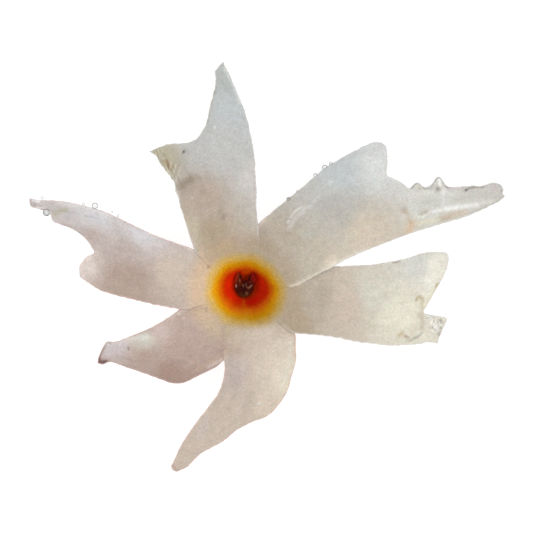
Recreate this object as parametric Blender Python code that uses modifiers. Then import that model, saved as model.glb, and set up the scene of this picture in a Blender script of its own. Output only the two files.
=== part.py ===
"""Coral jasmine flower: six fused white lobes on an orange funnel and tube, with two dark stamens."""

import math

import bmesh
import bpy
import numpy as np

# Driving dimensions, in millimetres
LIMB_HEIGHT = 6.6
LIMB_RISE = 0.5
BLADE_THICKNESS = 0.62
LOBE_START_RADIUS = 3.0
RING_INNER_RADIUS = 2.6
RING_OUTER_RADIUS = 3.75
LIP_RADIUS = 2.3
BORE_RADIUS = 0.9
TUBE_RADIUS = 1.45
TUBE_FOOT = 0.15
FLANGE_RADIUS = 3.1
TUBE_LEAN = 0.3
TUBE_BOW = 0.05
ANTHER_WIDTH = 0.3
TURN_STEPS = 44
MM = 0.001

# Lobes, seen from above, with the flower's throat at zero. Left and right are as seen from the throat.
# base: the two angles of the lobe's root, in degrees
# tip: the height of the blade's middle at its furthest point, in millimetres
LOBES = {
    "top": {
        "base": (152, 68),
        "axis": 97,
        "layer": 0.34,
        "tip": 0.12,
        "bend": 1.45,
        "start": 4.6,
        "camber": 0.45,
        "rows": 19,
        "left": [
            (-3.68, 2.92), (-4.10, 3.66), (-4.71, 5.50), (-5.12, 6.83), (-5.47, 8.06), (-5.73, 8.87),
            (-6.65, 10.10), (-7.11, 10.86), (-7.67, 11.22),
        ],
        "end": [
            (-7.67, 11.22), (-6.70, 11.62), (-6.04, 11.81), (-5.12, 11.85), (-4.30, 11.98), (-3.69, 12.44),
            (-3.18, 13.26), (-2.98, 13.98), (-2.75, 15.10), (-2.52, 15.91), (-2.38, 16.94), (-2.46, 17.60),
            (-1.80, 18.31),
        ],
        "right": [
            (1.12, 3.68), (1.01, 5.14), (0.85, 6.53), (0.85, 8.06), (0.78, 9.58), (0.65, 11.12),
            (0.39, 12.54), (-0.02, 14.18), (-0.53, 15.50), (-1.19, 17.03), (-1.54, 17.75), (-1.80, 18.31),
        ],
    },
    "upper_right": {
        "base": (86, 2),
        "axis": 21,
        "layer": 0.14,
        "tip": 0.10,
        "bend": 1.5,
        "start": 5.2,
        "camber": 0.5,
        "rows": 17,
        "ties": [((11.32, 10.95), (7.02, 2.00), 13), ((11.28, 9.27), (9.35, 3.17), 4)],
        "left": [
            (0.45, 4.2), (1.10, 5.30), (2.19, 6.26), (3.36, 7.23), (4.39, 8.06), (5.50, 9.02),
            (6.32, 9.71), (7.29, 10.33), (8.66, 11.09), (9.90, 11.71), (10.59, 11.85), (11.14, 11.64),
            (11.32, 10.95), (11.31, 10.13), (11.28, 9.27), (11.83, 8.95), (12.52, 8.62), (13.12, 8.16),
            (13.76, 8.62), (14.35, 8.24), (14.95, 8.48), (15.49, 9.10), (16.12, 8.34), (16.93, 8.26),
            (18.10, 8.38), (19.30, 8.54), (20.22, 8.46),
        ],
        "end": [
            (20.22, 8.46), (20.41, 8.33), (20.54, 8.17), (20.60, 8.00), (20.64, 7.83), (20.69, 7.70),
            (20.74, 7.57), (20.58, 7.42), (20.35, 7.24),
        ],
        "right": [
            (3.43, 0.31), (3.98, 0.37), (4.94, 0.90), (5.91, 1.45), (7.02, 2.00), (7.98, 2.54),
            (9.35, 3.17), (11.42, 3.99), (13.49, 4.75), (15.55, 5.37), (17.62, 5.99), (19.10, 6.62),
            (20.35, 7.24),
        ],
    },
    "right": {
        "base": (17, -46),
        "axis": -9,
        "layer": -0.03,
        "tip": 2.1,
        "bend": 1.5,
        "start": 4.8,
        "camber": 0.35,
        "rows": 16,
        "left": [
            (4.00, 1.35), (4.95, 1.62), (6.15, 1.92), (7.43, 1.90), (8.78, 1.97), (10.24, 2.05),
            (11.70, 2.29), (12.86, 2.53), (14.12, 2.94), (15.09, 3.06), (15.86, 3.06),
        ],
        "end": [
            (15.86, 3.06), (16.25, 2.82), (16.25, 2.24), (16.06, 1.56), (15.66, 0.78), (15.09, -0.18),
            (14.60, -1.06), (14.30, -1.70), (14.90, -1.98), (15.55, -2.06), (16.20, -2.20), (15.96, -2.74),
            (15.57, -3.67), (15.42, -4.16),
        ],
        "right": [
            (2.96, -2.72), (3.92, -3.28), (4.81, -3.37), (6.85, -3.58), (8.78, -3.97), (10.24, -4.16),
            (11.70, -4.30), (13.63, -4.21), (14.70, -4.04), (15.42, -4.16),
        ],
    },
    "bottom": {
        "base": (-34, -118),
        "axis": -111,
        "layer": -0.18,
        "tip": 0.305,
        "bend": 1.35,
        "start": 3.6,
        "camber": 0.7,
        "rows": 18,
        "left": [
            (3.40, -2.55), (3.95, -3.51), (4.00, -4.64), (4.00, -5.60), (3.70, -6.72), (3.34, -7.94),
            (2.66, -9.06), (1.70, -9.98), (0.58, -10.41), (-0.73, -11.10), (-1.59, -11.84),
            (-2.64, -12.45), (-3.59, -12.97), (-4.29, -13.66), (-4.72, -14.06), (-5.46, -14.40),
        ],
        "end": [
            (-5.46, -14.40), (-5.62, -14.38), (-5.76, -14.32), (-5.85, -14.18), (-5.85, -14.01),
        ],
        "right": [
            (-1.72, -3.45), (-1.70, -4.50), (-1.60, -5.46), (-1.55, -6.20), (-1.77, -7.42), (-2.20, -8.38),
            (-2.90, -9.33), (-3.77, -10.46), (-4.63, -11.67), (-5.15, -12.54), (-5.54, -13.40),
            (-5.85, -14.01),
        ],
    },
    "lower_left": {
        "base": (-98, -174),
        "axis": 207,
        "layer": -0.34,
        "tip": 2.2,
        "bend": 1.5,
        "start": 4.0,
        "camber": 0.75,
        "rows": 14,
        "left": [
            (-0.70, -4.20), (-1.00, -5.10), (-1.66, -5.43), (-2.36, -6.02), (-3.56, -6.62), (-4.75, -7.22),
            (-5.39, -7.34), (-6.04, -7.26), (-6.77, -6.99), (-8.15, -6.49), (-9.53, -6.02),
            (-10.72, -5.62), (-11.36, -5.80), (-11.81, -5.73),
        ],
        "end": [
            (-11.81, -5.73), (-11.74, -5.35), (-11.59, -4.97), (-11.42, -4.62), (-11.22, -4.28),
            (-11.06, -4.14), (-10.90, -4.07),
        ],
        "right": [
            (-3.60, -0.90), (-4.80, -1.30), (-6.22, -2.26), (-7.50, -3.00), (-8.79, -3.54), (-9.98, -4.01),
            (-10.45, -4.14), (-10.90, -4.07),
        ],
    },
    "left": {
        "base": (202, 138),
        "axis": 158,
        "layer": 0.0,
        "tip": 0.266,
        "bend": 1.45,
        "start": 4.6,
        "camber": 0.5,
        "rows": 18,
        "left": [
            (-3.80, -1.20), (-4.70, -1.42), (-5.09, -1.39), (-6.78, -1.11), (-8.46, -0.72),
            (-10.14, -0.33), (-11.60, 0.13), (-12.38, 0.63), (-13.18, 1.14),
        ],
        "end": [
            (-13.18, 1.14), (-13.25, 1.64), (-13.15, 2.14), (-12.73, 2.65), (-12.08, 3.04), (-12.22, 3.50),
            (-12.66, 4.10), (-13.30, 4.68), (-14.22, 5.18), (-14.92, 5.58), (-15.50, 5.80), (-15.74, 6.18),
            (-16.08, 6.47), (-16.60, 6.70), (-17.05, 6.88), (-17.27, 7.10), (-17.27, 7.37),
        ],
        "right": [
            (-3.20, 2.85), (-4.02, 3.26), (-5.54, 3.78), (-7.22, 4.39), (-8.79, 5.12), (-10.14, 5.79),
            (-11.26, 6.30), (-12.38, 6.63), (-13.51, 6.91), (-14.63, 7.12), (-15.75, 7.20),
            (-16.54, 7.20), (-17.27, 7.37),
        ],
    },
}

# Soft folds and bumps: lobe, first end, second end, width and height, in millimetres
FOLDS = [
    ("top", (-2.4, 12.2), (-1.9, 17.6), 0.9, 0.28),
    ("top", (-5.6, 10.6), (-4.6, 8.9), 0.5, -0.16),
    ("upper_right", (13.6, 5.9), (19.8, 7.7), 0.55, 0.34),
    ("upper_right", (7.2, 9.6), (10.6, 11.0), 1.1, 0.26),
    ("upper_right", (12.6, 7.4), (15.4, 7.6), 0.5, -0.18),
    ("right", (7.0, -0.6), (14.4, 0.6), 1.3, 0.22),
    ("right", (13.8, -3.4), (14.5, -3.0), 0.5, -0.16),
    ("right", (15.5, 2.3), (15.2, 0.4), 0.7, 0.2),
    ("bottom", (0.3, -5.0), (-1.2, -12.0), 1.0, 0.2),
    ("lower_left", (-4.6, -3.9), (-10.2, -4.8), 1.1, 0.24),
    ("left", (-6.6, 1.6), (-12.0, 4.9), 1.2, 0.24),
    ("left", (-14.4, 6.1), (-15.6, 6.5), 0.5, -0.3),
]


# Curves and surfaces
def smooth_curve(points, steps=24):
    """A dense curve that passes through every point, its running length, and that length at each point."""
    points = np.array(points, float)
    padded = np.vstack([2 * points[0] - points[1], points, 2 * points[-1] - points[-2]])
    t = np.linspace(0, 1, steps, endpoint=False)[:, None]
    spans = []
    for i in range(1, len(padded) - 2):
        a, b, c, d = padded[i - 1 : i + 3]
        curve = 2 * b + (c - a) * t + (2 * a - 5 * b + 4 * c - d) * t**2 + (3 * b - a - 3 * c + d) * t**3
        spans.append(curve / 2)
    dense = np.vstack([*spans, points[-1:]])
    along = np.concatenate([[0], np.cumsum(np.linalg.norm(np.diff(dense, axis=0), axis=1))])
    return dense, along, along[::steps]


def lobe_sides(lobe, root):
    """Both side edges in matching rows. A tie makes a point of the left side face one of the right."""
    left = [tuple(root[0]), *lobe["left"]]
    right = [tuple(root[-1]), *lobe["right"]]
    traced = [smooth_curve(left), smooth_curve(right)]
    wanted = [[0.0], [0.0]]
    for tie in [*lobe.get("ties", []), (left[-1], right[-1], lobe["rows"])]:
        for side, (points, place) in enumerate([(left, tie[0]), (right, tie[1])]):
            stop = traced[side][2][points.index(place)]
            wanted[side] += list(np.linspace(wanted[side][-1], stop, tie[2] + 1)[1:])
    sides = []
    for (dense, along, _), places in zip(traced, wanted, strict=True):
        sides.append(np.column_stack([np.interp(places, along, dense[:, k]) for k in (0, 1)]))
    return sides


def lobe_plan(lobe):
    """The lobe seen from above, as a grid of points stretched between its root, sides and end."""
    end = np.array(lobe["end"], float)
    share = np.concatenate([[0], np.cumsum(np.linalg.norm(np.diff(end, axis=0), axis=1))])
    share /= share[-1]
    angle = np.radians(lobe["base"][0] + (lobe["base"][1] - lobe["base"][0]) * share)
    root = LOBE_START_RADIUS * np.column_stack([np.cos(angle), np.sin(angle)])
    left, right = lobe_sides(lobe, root)
    u = share[None, :, None]
    v = np.linspace(0, 1, len(left))[:, None, None]
    sides = (1 - u) * left[:, None] + u * right[:, None]
    root_bulge = root - (1 - u) * root[0] - u * root[-1]
    end_bulge = end - (1 - u) * end[0] - u * end[-1]
    return sides + (1 - v) ** 3 * root_bulge + v * end_bulge, share


def smooth_step(x):
    x = np.clip(x, 0, 1)
    return x * x * (3 - 2 * x)


def lobe_height(name, plan, u):
    """The height of the middle of the blade over each point of the plan."""
    lobe = LOBES[name]
    x, y = plan[..., 0], plan[..., 1]
    radius = np.hypot(x, y)
    reach = max(np.hypot(*p) for p in lobe["end"])
    rise = LIMB_RISE * (1 - np.exp(-(radius - RING_INNER_RADIUS) / 2.2))
    drop = LIMB_HEIGHT + LIMB_RISE - lobe["tip"]
    drop = drop * np.clip((radius - lobe["start"]) / (reach - lobe["start"]), 0, None) ** lobe["bend"]
    layer = lobe["layer"] * (0.2 + 0.8 * smooth_step((radius - LOBE_START_RADIUS) / 3.2))
    z = LIMB_HEIGHT + rise - drop + layer * (1 - 0.7 * smooth_step((radius - 8) / 6))
    axis = math.radians(lobe["axis"])
    aside = -x * math.sin(axis) + y * math.cos(axis)
    z = z - lobe["camber"] * (aside / 4.5) ** 2 * smooth_step((radius - 3.4) / 5)
    for owner, start, stop, width, height in FOLDS:
        if owner != name:
            continue
        run = np.array(stop) - np.array(start)
        length = np.linalg.norm(run)
        t = ((x - start[0]) * run[0] + (y - start[1]) * run[1]) / length**2
        off = ((x - start[0]) * run[1] - (y - start[1]) * run[0]) / length
        past = np.clip(np.abs(t - 0.5) - 0.5, 0, None) * length
        z = z + height * np.exp(-((off / width) ** 2) - (past / (1.6 * width)) ** 2)
    if name == "lower_left":
        z = z - 0.55 * (1 - u) ** 5 * smooth_step((radius - 6) / 4)
    if name == "top":
        z = z - 0.5 * (1 - u) ** 4 * smooth_step((radius - 9) / 3)
    return z


# Blender helpers
def collection_named(name, cutter=False):
    made = bpy.data.collections.new(name)
    bpy.context.scene.collection.children.link(made)
    made.hide_render = cutter
    return made


def object_from(name, vertices, faces, home):
    mesh = bpy.data.meshes.new(name)
    mesh.from_pydata([tuple(v) for v in vertices], [], faces)
    mesh.update()
    made = bpy.data.objects.new(name, mesh)
    home.objects.link(made)
    return made


def apply_modifiers(obj):
    bpy.context.view_layer.update()
    shape = obj.evaluated_get(bpy.context.evaluated_depsgraph_get())
    mesh = bpy.data.meshes.new_from_object(shape)
    old = obj.data
    obj.modifiers.clear()
    obj.data = mesh
    bpy.data.meshes.remove(old)
    face_outwards(obj)


def face_outwards(obj):
    work = bmesh.new()
    work.from_mesh(obj.data)
    bmesh.ops.recalc_face_normals(work, faces=work.faces)
    work.to_mesh(obj.data)
    work.free()


def join_with(obj, pieces):
    """One Boolean union of the object and a collection of pieces, which then goes."""
    union = obj.modifiers.new("join pieces", "BOOLEAN")
    union.operation = "UNION"
    union.operand_type = "COLLECTION"
    union.collection = pieces
    union.solver = "MANIFOLD"
    apply_modifiers(obj)
    for piece in list(pieces.objects):
        bpy.data.objects.remove(piece)
    bpy.data.collections.remove(pieces)


def turned(name, profile, home):
    """A closed profile of radius and height, turned round the vertical axis."""
    count = len(profile)
    mesh = bpy.data.meshes.new(name)
    mesh.from_pydata(
        [(r * MM, 0, z * MM) for r, z in profile], [(i, (i + 1) % count) for i in range(count)], []
    )
    made = bpy.data.objects.new(name, mesh)
    home.objects.link(made)
    screw = made.modifiers.new("turn", "SCREW")
    screw.steps = TURN_STEPS
    screw.render_steps = TURN_STEPS
    screw.use_merge_vertices = True
    screw.merge_threshold = 1e-7
    apply_modifiers(made)
    return made


def paint(obj, name, colour, roughness):
    material = bpy.data.materials.new(name)
    material.use_nodes = True
    shader = material.node_tree.nodes["Principled BSDF"]
    shader.inputs["Base Color"].default_value = (*colour, 1)
    shader.inputs["Roughness"].default_value = roughness
    obj.data.materials.clear()
    obj.data.materials.append(material)
    for polygon in obj.data.polygons:
        polygon.use_smooth = True


# Start from an empty scene
for leftover in list(bpy.data.objects):
    bpy.data.objects.remove(leftover)

flower = collection_named("coral_jasmine_flower")


# White lobes, layered at their roots and fused by a ring round the throat
def lobe_blade(name, home):
    plan, share = lobe_plan(LOBES[name])
    height = lobe_height(name, plan, share[None, :])
    rows, columns = height.shape
    vertices = np.dstack([plan, height]).reshape(-1, 3) * MM
    faces = []
    for row in range(rows - 1):
        for column in range(columns - 1):
            a = row * columns + column
            b, c, d = a + 1, a + columns + 1, a + columns
            if (row + column) % 2:
                faces += [(a, b, c), (a, c, d)]
            else:
                faces += [(a, b, d), (b, c, d)]
    blade = object_from(name, vertices, faces, home)
    wall = blade.modifiers.new("blade thickness", "SOLIDIFY")
    wall.thickness = BLADE_THICKNESS * MM
    wall.offset = 0
    apply_modifiers(blade)
    return blade


ring_middle = LIMB_HEIGHT
ring_profile = [
    (RING_INNER_RADIUS, ring_middle - 0.28),
    (RING_INNER_RADIUS + 0.12, ring_middle - 0.47),
    (RING_OUTER_RADIUS - 0.25, ring_middle - 0.42),
    (RING_OUTER_RADIUS, ring_middle - 0.1),
    (RING_OUTER_RADIUS - 0.05, ring_middle + 0.25),
    (RING_OUTER_RADIUS - 0.35, ring_middle + 0.56),
    (RING_INNER_RADIUS + 0.45, ring_middle + 0.55),
    (RING_INNER_RADIUS + 0.12, ring_middle + 0.36),
    (RING_INNER_RADIUS, ring_middle + 0.12),
]
limb = turned("corolla_limb", ring_profile, flower)
blades = collection_named("lobe blades")
for lobe_name in LOBES:
    lobe_blade(lobe_name, blades)
join_with(limb, blades)

# Orange funnel and tube, open at both ends
top = LIMB_HEIGHT
tube_profile = [
    (LIP_RADIUS - 0.22, top + 0.40),
    (LIP_RADIUS - 0.38, top + 0.28),
    (1.83, top),
    (1.70, top - 0.35),
    (1.48, top - 0.78),
    (1.21, top - 1.18),
    (1.00, top - 1.58),
    (BORE_RADIUS, top - 2.15),
    (BORE_RADIUS - 0.03, top - 3.4),
    (BORE_RADIUS - 0.03, 1.4),
    (BORE_RADIUS, TUBE_FOOT + 0.15),
    (BORE_RADIUS + 0.14, TUBE_FOOT),
    (TUBE_RADIUS - 0.14, TUBE_FOOT),
    (TUBE_RADIUS, TUBE_FOOT + 0.15),
    (TUBE_RADIUS + 0.02, 1.4),
    (TUBE_RADIUS, top - 3.4),
    (TUBE_RADIUS + 0.1, top - 2.4),
    (TUBE_RADIUS + 0.38, top - 1.85),
    (TUBE_RADIUS + 0.9, top - 1.48),
    (FLANGE_RADIUS - 0.15, top - 1.34),
    (FLANGE_RADIUS, top - 1.12),
    (FLANGE_RADIUS - 0.12, top - 0.88),
    (LIP_RADIUS + 0.1, top - 0.82),
    (LIP_RADIUS - 0.02, top - 0.68),
    (LIP_RADIUS - 0.02, top + 0.2),
]
tube = turned("corolla_tube", tube_profile, flower)


def lean(z):
    """How far the tube's middle has moved aside at this height, in millimetres: x and y."""
    depth = max(0.0, LIMB_HEIGHT - 0.5 - z)
    away = TUBE_LEAN * depth * depth / (depth + 0.5) + TUBE_BOW * max(0.0, depth - 2) ** 2
    return (-0.05 * away + 0.1 * math.sin(depth * 0.55), away)


for vertex in tube.data.vertices:
    shift = lean(vertex.co.z / MM)
    vertex.co.x += shift[0] * MM
    vertex.co.y += shift[1] * MM


# Two stamens in the mouth of the tube, each a two-lobed anther on a short filament
def capsule(name, start, stop, radius, home, segments=10, rings=6, flat=1.0):
    """A long rounded body between two points in millimetres."""
    bpy.ops.mesh.primitive_uv_sphere_add(segments=segments, ring_count=rings, radius=1)
    made = bpy.context.object
    made.name = name
    for owner in list(made.users_collection):
        owner.objects.unlink(made)
    home.objects.link(made)
    start, stop = np.array(start, float), np.array(stop, float)
    along = stop - start
    length = np.linalg.norm(along)
    along /= length
    side = np.cross(along, (0, 0, 1))
    side /= np.linalg.norm(side)
    up = np.cross(side, along)
    for vertex in made.data.vertices:
        x, y, z = vertex.co
        place = (start + stop) / 2 + along * z * (length / 2 + radius * 0.6)
        place = place + side * x * radius + up * y * radius * flat
        vertex.co = place * MM
    face_outwards(made)
    return made


def stamen(name, foot, head, apart):
    """The anther runs from foot to head. Its two lobes lie side by side, a little apart."""
    foot, head = np.array(foot, float), np.array(head, float)
    along = (head - foot) / np.linalg.norm(head - foot)
    side = np.cross(along, (0, 0, 1))
    side = side / np.linalg.norm(side) * apart
    body = capsule(name, foot - side, head - side, ANTHER_WIDTH * 0.62, flower)
    pieces = collection_named(name + " pieces")
    capsule(name + " lobe", foot + side, head + side, ANTHER_WIDTH * 0.62, pieces)
    below = foot + np.array((0, 0.25, -1.1)) - along * 0.1
    capsule(name + " filament", below, foot + along * 0.4, 0.17, pieces, 8, 6)
    join_with(body, pieces)
    return body


stamens = [
    stamen("stamen_left", (-0.27, 0.12, top - 1.45), (-0.62, 0.98, top - 0.42), 0.11),
    stamen("stamen_right", (0.22, 0.10, top - 1.45), (0.52, 1.08, top - 0.42), 0.11),
]

# Own materials
paint(limb, "lobe white", (0.80, 0.77, 0.71), 0.55)
paint(tube, "tube orange", (0.80, 0.17, 0.02), 0.45)
paint(stamens[0], "left anther brown", (0.09, 0.025, 0.015), 0.35)
paint(stamens[1], "right anther brown", (0.09, 0.025, 0.015), 0.35)

# The origin goes to the middle of the base
nodes = [limb, tube, *stamens]
corners = np.array([vertex.co[:] for node in nodes for vertex in node.data.vertices])
low, high = corners.min(axis=0), corners.max(axis=0)
origin = ((low[0] + high[0]) / 2, (low[1] + high[1]) / 2, low[2])
for node in nodes:
    for vertex in node.data.vertices:
        for k in range(3):
            vertex.co[k] -= origin[k]
    node.data.update()
print("origin moved by", [round(float(v) / MM, 4) for v in origin], "mm")
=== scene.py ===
"""Coral jasmine flower: the looks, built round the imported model."""
import math

import bpy
import numpy as np
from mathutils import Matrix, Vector, kdtree
from mathutils.bvhtree import BVHTree


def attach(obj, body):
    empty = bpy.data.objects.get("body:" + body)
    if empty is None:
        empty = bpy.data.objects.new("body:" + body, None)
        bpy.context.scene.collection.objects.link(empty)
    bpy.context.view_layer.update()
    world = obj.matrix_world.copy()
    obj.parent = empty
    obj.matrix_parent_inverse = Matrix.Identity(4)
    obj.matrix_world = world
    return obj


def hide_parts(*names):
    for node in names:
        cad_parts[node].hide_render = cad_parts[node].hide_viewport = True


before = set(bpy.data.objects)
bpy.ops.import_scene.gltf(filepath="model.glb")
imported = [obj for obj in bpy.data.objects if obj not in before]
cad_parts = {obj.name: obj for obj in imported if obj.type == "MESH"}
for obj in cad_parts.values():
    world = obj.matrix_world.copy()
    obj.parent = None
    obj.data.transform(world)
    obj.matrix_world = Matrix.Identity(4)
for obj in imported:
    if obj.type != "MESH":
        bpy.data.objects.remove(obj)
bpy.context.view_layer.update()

# Sizes, in millimetres. The plan's zero is the middle of the throat, and ORIGIN is the model's zero in it
MM = 0.001
ORIGIN = np.array((1.7561, 1.9659, -0.0067))
PIXEL = 0.08
PICTURE_SIDE = 533
THROAT_SEEN = (245.0, 291.0)
CAMERA_DISTANCE = 1.5
LIMB_HEIGHT = 6.6
LIMB_RISE = 0.5
LOBE_START_RADIUS = 2.42
LAYERS_PART_RADIUS = 3.0
RING_INNER_RADIUS = 2.6
ROOT_THICKNESS = 0.24
END_THICKNESS = 0.20
RIM_ROUNDING = 0.14
TUBE_LEAN = 0.3
TUBE_BOW = 0.05
OUTLINE_GROWTH = 0.074

# Fineness of the meshes and curves
COLUMNS = 92
ROWS = 160
CURVE_STEPS = 24

# A full turn of a wave, and how often the veins' pattern repeats across and along a lobe
FULL_TURN = 6.283
VEIN_STRETCH = (2.4, 0.35)

# Light that reaches a level petal. Tones are what the petal should look like under it
LIGHT = 1.22
GLOSS_VEIL = 0.011
THROAT_VEIL = 0.003
SCREEN_WHITE = 255
LIGHTEST_PAINT = 252
FUNNEL_LIGHT = 1.02

# Round the eye the lobes share their washes of colour. From this radius outwards each lobe has its own
SHARED_RADIUS = 3.8

# Lobes whose tips rest on the surface
SETTLED = ("top", "upper_right", "left", "bottom")

# Edges that curl down on a lobe's left side: depth, sharpness, radius where it starts, and run
CURLS = {"lower_left": (0.55, 5, 6, 4), "top": (0.5, 4, 9, 3)}

# Radius up to which the rims of the lower lobes are pink, and where it has faded to white
PINK_ENDS = {"left": 11.0, "lower_left": 20.0, "bottom": 20.0}
PINK_FADE = 3.0

# Crumpled ribs at the top lobe's notch: their path and reach in the picture, spacing, the strength of the
# painted light on their crests and painted shade in their grooves, and lift
RIBBED = [(158, 156), (166, 165), (172, 172), (175.5, 177)]
RIB_REACH = 7.8
RIB_SPACING = 0.28
RIB_PAINTED_SHADING = 0.10
RIB_LIFT = 0.009

# Lobes, seen from above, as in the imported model's source. Left and right are as seen from the throat.
# Ties join a left and a right point, with a number of rows up to them
LOBES = {
    "top": {
        "rim": ("stone", 1.1, 0.35), "ragged": 0.03, "base": (152, 68), "axis": 97, "layer": 0.34,
        "tip": 0.12, "bend": 1.45, "start": 4.6, "camber": 0.45, "rows": 19,
        "left": [
            (-3.68, 2.92), (-4.1, 3.66), (-4.71, 5.5), (-5.12, 6.83), (-5.47, 8.06), (-5.73, 8.87),
            (-6.65, 10.1), (-7.11, 10.86), (-7.67, 11.22),
        ],
        "end": [
            (-7.67, 11.22), (-6.7, 11.62), (-6.04, 11.81), (-5.12, 11.85), (-4.3, 11.98), (-3.69, 12.44),
            (-3.18, 13.26), (-2.98, 13.98), (-2.75, 15.1), (-2.52, 15.91), (-2.38, 16.94), (-2.46, 17.6),
            (-1.8, 18.31),
        ],
        "right": [
            (1.12, 3.68), (1.01, 5.14), (0.85, 6.53), (0.85, 8.06), (0.78, 9.58), (0.65, 11.12),
            (0.39, 12.54), (-0.02, 14.18), (-0.53, 15.5), (-1.19, 17.03), (-1.54, 17.75), (-1.8, 18.31),
        ],
    },
    "upper_right": {
        "rim": ("stone", 1, 0.3), "ragged": 0.018, "base": (86, 2), "axis": 21, "layer": 0.14, "tip": 0.1,
        "bend": 1.5, "start": 5.2, "camber": 0.5, "rows": 17,
        "ties": [((11.32, 10.95), (7.02, 2), 13), ((11.28, 9.27), (9.35, 3.17), 4)],
        "left": [
            (0.45, 4.2), (1.1, 5.3), (2.19, 6.26), (3.36, 7.23), (4.39, 8.06), (5.5, 9.02), (6.32, 9.71),
            (7.29, 10.33), (8.66, 11.09), (9.9, 11.71), (10.59, 11.85), (11.14, 11.64), (11.32, 10.95),
            (11.31, 10.13), (11.28, 9.27), (11.83, 8.95), (12.52, 8.62), (13.12, 8.16), (13.76, 8.62),
            (14.35, 8.24), (14.95, 8.48), (15.49, 9.1), (16.12, 8.34), (16.93, 8.26), (18.1, 8.36),
            (18.9, 8.33), (19.4, 8.5), (19.85, 8.6), (20.26, 8.54),
        ],
        "end": [
            (20.26, 8.54), (20.47, 8.4), (20.6, 8.22), (20.64, 8.02), (20.57, 7.88), (20.6, 7.74),
            (20.74, 7.58), (20.58, 7.42), (20.35, 7.24),
        ],
        "right": [
            (3.43, 0.31), (3.98, 0.37), (4.94, 0.9), (5.91, 1.45), (7.02, 2), (7.98, 2.54), (9.35, 3.17),
            (11.42, 3.99), (13.49, 4.75), (15.55, 5.37), (17.62, 5.99), (19.1, 6.62), (20.35, 7.24),
        ],
    },
    "right": {
        "rim": ("pink grey", 1.1, 0.35), "ragged": 0.018, "base": (17, -46), "axis": -9, "layer": -0.03,
        "tip": 2.1, "bend": 1.5, "start": 4.8, "camber": 0.35, "rows": 16,
        "left": [
            (4, 1.35), (4.95, 1.62), (6.15, 1.92), (7.43, 1.9), (8.78, 1.97), (10.24, 2.05), (11.7, 2.29),
            (12.86, 2.53), (14.12, 2.94), (15.09, 3.06), (15.86, 3.06),
        ],
        "end": [
            (15.86, 3.06), (16.25, 2.82), (16.25, 2.24), (16.06, 1.56), (15.66, 0.78), (15.09, -0.18),
            (14.6, -1.06), (14.3, -1.7), (14.9, -1.98), (15.55, -2.06), (16.2, -2.2), (15.96, -2.74),
            (15.57, -3.67), (15.42, -4.16),
        ],
        "right": [
            (2.96, -2.72), (3.92, -3.28), (4.81, -3.37), (6.85, -3.58), (8.78, -3.97), (10.24, -4.16),
            (11.7, -4.3), (13.63, -4.21), (14.7, -4.04), (15.42, -4.16),
        ],
    },
    "bottom": {
        "rim": ("pink", 1.2, 0.4), "ragged": 0.012, "base": (-34, -118), "axis": -111, "layer": -0.18,
        "tip": 0.305, "bend": 1.35, "start": 3.6, "camber": 0.7, "rows": 18,
        "left": [
            (3.4, -2.55), (3.95, -3.51), (4, -4.64), (4, -5.6), (3.7, -6.72), (3.34, -7.94), (2.66, -9.06),
            (1.7, -9.98), (0.58, -10.41), (-0.73, -11.1), (-1.59, -11.84), (-2.64, -12.45), (-3.59, -12.97),
            (-4.29, -13.66), (-4.72, -14.06), (-5.46, -14.4),
        ],
        "end": [
            (-5.46, -14.4), (-5.62, -14.38), (-5.76, -14.32), (-5.85, -14.18), (-5.85, -14.01),
        ],
        "right": [
            (-1.72, -3.45), (-1.7, -4.5), (-1.6, -5.46), (-1.55, -6.2), (-1.77, -7.42), (-2.2, -8.38),
            (-2.9, -9.33), (-3.77, -10.46), (-4.63, -11.67), (-5.15, -12.54), (-5.54, -13.4),
            (-5.85, -14.01),
        ],
    },
    "lower_left": {
        "rim": ("dusky rose", 1.3, 0.48), "ragged": 0.012, "base": (-98, -174), "axis": 207, "layer": -0.34,
        "tip": 2.2, "bend": 1.5, "start": 4, "camber": 0.75, "rows": 14,
        "left": [
            (-0.7, -4.2), (-1, -5.1), (-1.66, -5.43), (-2.36, -6.02), (-3.56, -6.62), (-4.75, -7.22),
            (-5.39, -7.34), (-6.04, -7.26), (-6.77, -6.99), (-8.15, -6.49), (-9.53, -6.02), (-10.72, -5.62),
            (-11.36, -5.8), (-11.81, -5.73),
        ],
        "end": [
            (-11.81, -5.73), (-11.74, -5.35), (-11.59, -4.97), (-11.42, -4.62), (-11.22, -4.28),
            (-11.06, -4.14), (-10.9, -4.07),
        ],
        "right": [
            (-3.6, -0.9), (-4.8, -1.3), (-6.22, -2.26), (-7.5, -3), (-8.79, -3.54), (-9.98, -4.01),
            (-10.45, -4.14), (-10.9, -4.07),
        ],
    },
    "left": {
        "rim": ("pink", 1.2, 0.55), "ragged": 0.02, "base": (202, 138), "axis": 158, "layer": 0,
        "tip": 0.266, "bend": 1.45, "start": 4.6, "camber": 0.5, "rows": 18,
        "left": [
            (-3.8, -1.2), (-4.7, -1.42), (-5.09, -1.39), (-6.78, -1.11), (-8.46, -0.72), (-10.14, -0.33),
            (-11.6, 0.13), (-12.38, 0.63), (-13.18, 1.14),
        ],
        "end": [
            (-13.18, 1.14), (-13.25, 1.64), (-13.15, 2.14), (-12.73, 2.65), (-12.08, 3.04), (-12.22, 3.5),
            (-12.66, 4.1), (-13.3, 4.68), (-14.22, 5.18), (-14.88, 5.44), (-15.42, 5.6), (-15.52, 5.95),
            (-15.66, 6.28), (-15.95, 6.55), (-16.3, 6.68), (-16.75, 6.66), (-17.12, 6.72), (-17.26, 6.95),
            (-17.27, 7.37),
        ],
        "right": [
            (-3.2, 2.85), (-4.02, 3.26), (-5.54, 3.78), (-7.22, 4.39), (-8.79, 5.12), (-10.14, 5.79),
            (-11.26, 6.3), (-12.38, 6.63), (-13.51, 6.91), (-14.63, 7.12), (-15.75, 7.2), (-16.54, 7.2),
            (-17.27, 7.37),
        ],
    },
}

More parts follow.
